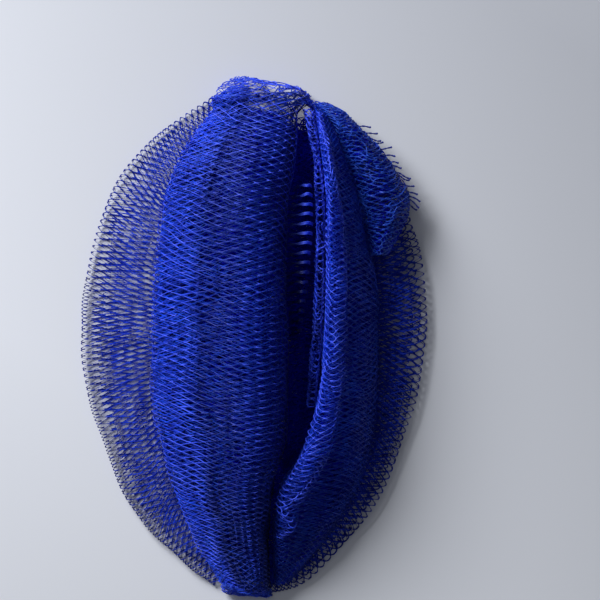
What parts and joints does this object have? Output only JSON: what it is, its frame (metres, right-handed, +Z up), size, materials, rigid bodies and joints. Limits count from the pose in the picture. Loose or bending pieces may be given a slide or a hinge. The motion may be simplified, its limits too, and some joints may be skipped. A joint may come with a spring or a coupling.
{
  "type": "folded mesh net",
  "caption": "Fine diamond-mesh knitted net folded into a flat oval bundle, with open outer folds, a dark gap between two rolls and a loose cut end.",
  "frame": {"origin": "on the table, under the middle of the bundle", "axes": "+Z up from the table, +Y along the bundle towards its top end, +X towards the side with the loose cut end"},
  "size_m": [0.1724, 0.2584, 0.0462],
  "materials": {
    "open_net": "open knitted net of blue multifilament yarn, one to three layers deep, see-through",
    "dense_net": "many layers of the same blue knitted net, dense, with glints on the yarn",
    "cut_yarn": "cut ends of the blue multifilament yarn"
  },
  "bodies": {
    "bundle": {"base_ply": "dense_net", "left_outer_fold_lower": "open_net", "left_outer_fold_upper": "open_net", "right_outer_fold_lower": "open_net", "right_outer_fold_upper": "open_net", "left_roll_ply_1": "dense_net", "left_roll_ply_2": "dense_net", "left_roll_ply_3": "dense_net", "left_roll_ply_4": "dense_net", "right_roll_ply_1": "dense_net", "right_roll_ply_2": "dense_net", "ridge_pleat_ply_1": "dense_net", "ridge_pleat_ply_2": "dense_net", "right_fold_ply_1": "dense_net", "right_fold_ply_2": "dense_net", "crevice_floor": "dense_net", "ladder_pleat": "dense_net", "crevice_ribbon": "dense_net", "top_hood_left": "open_net", "top_hood_right": "open_net", "bottom_tip": "open_net"},
    "loose_end": {"loose_end_lower": "open_net", "loose_end_upper": "open_net", "cut_edge_fringe": "cut_yarn"}
  },
  "joints": [
    {"name": "loose_end_lift", "type": "hinge", "parent": "bundle", "child": "loose_end", "pos_m": [0.0545, 0.0715, 0.024], "axis": [0.239, -0.971, 0], "range_deg": [0, 85]}
  ]
}
